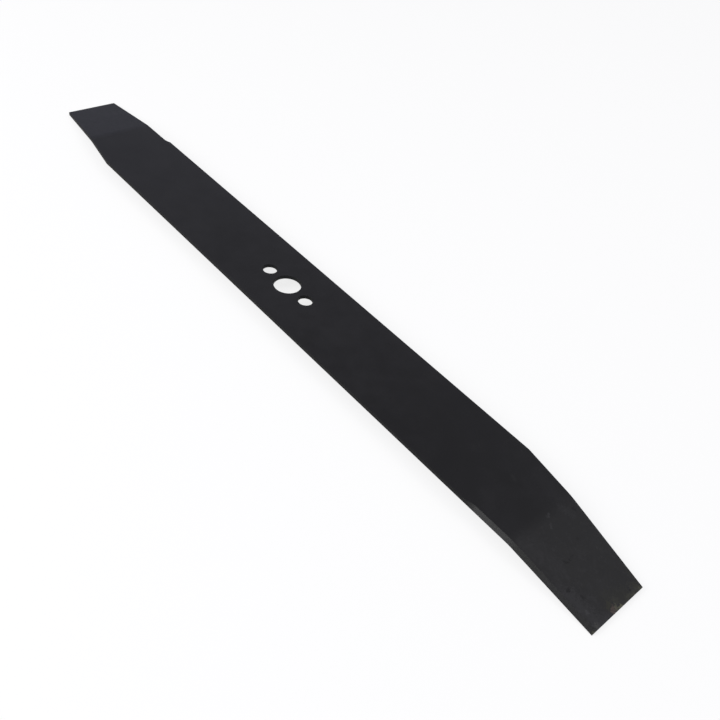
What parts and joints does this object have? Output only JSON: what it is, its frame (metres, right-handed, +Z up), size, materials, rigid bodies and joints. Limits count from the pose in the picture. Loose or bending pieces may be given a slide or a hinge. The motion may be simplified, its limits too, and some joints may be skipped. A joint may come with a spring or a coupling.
{
  "type": "mower blade",
  "caption": "Flat steel rotary mower blade with a spindle hole, side pin holes, lowered tapered ends and ground cutting edges, painted black.",
  "frame": {"origin": "centre of the spindle hole, halfway through the metal", "axes": "+X along the bar towards one tip, +Y across the bar, +Z up along the spindle hole, out of the face that seats against the hub; seen from above the blade turns clockwise"},
  "size_m": [0.5586, 0.057, 0.0094],
  "materials": {
    "black_paint": "semi-gloss black paint over steel, ground edges painted too"
  },
  "bodies": {
    "root": {"blade": "black_paint"}
  },
  "joints": []
}
